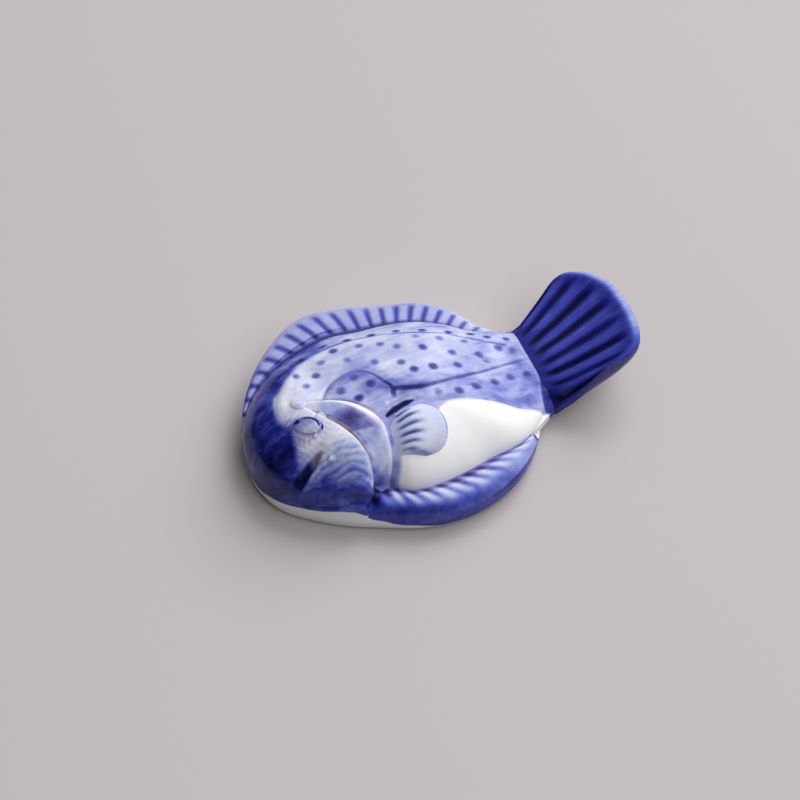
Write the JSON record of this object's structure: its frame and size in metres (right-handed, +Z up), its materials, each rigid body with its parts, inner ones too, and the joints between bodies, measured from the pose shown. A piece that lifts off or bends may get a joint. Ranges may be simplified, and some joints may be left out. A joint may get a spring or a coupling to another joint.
{
  "type": "chopstick rest",
  "caption": "Small flat porcelain rest in the shape of a flounder, with a low waist between body and raised tail where chopsticks lie.",
  "frame": {"origin": "centre of the bounding box in X and Y, on the table under the foot", "axes": "+X from the snout to the tail, +Y to the back fin, +Z up from the table"},
  "size_m": [0.0654, 0.0438, 0.0141],
  "materials": {
    "foot_porcelain": "clear glaze over white porcelain, ground ring bare",
    "back_wash": "pale blue wash and darker spots on white porcelain under clear glaze",
    "head_cobalt": "cobalt blue brushed dark to pale under clear glaze",
    "back_fin_wash": "pale blue with darker rays under clear glaze",
    "belly_fin_cobalt": "cobalt blue with pale strokes under clear glaze",
    "tail_cobalt": "deep cobalt with near-black grooves under clear glaze",
    "gill_wash": "mid blue under clear glaze",
    "side_fin_wash": "pale blue with dark strokes under clear glaze",
    "eye_cobalt": "blue with a dark lid line under clear glaze",
    "eye_pale": "pale lavender blue under clear glaze"
  },
  "bodies": {
    "root": {"foot_half": "foot_porcelain", "back_shell": "back_wash", "head_shell": "head_cobalt", "back_fin": "back_fin_wash", "belly_fin": "belly_fin_cobalt", "tail_fin": "tail_cobalt", "gill_cover": "gill_wash", "side_fin": "side_fin_wash", "lower_eye": "eye_cobalt", "upper_eye": "eye_pale"}
  },
  "joints": []
}
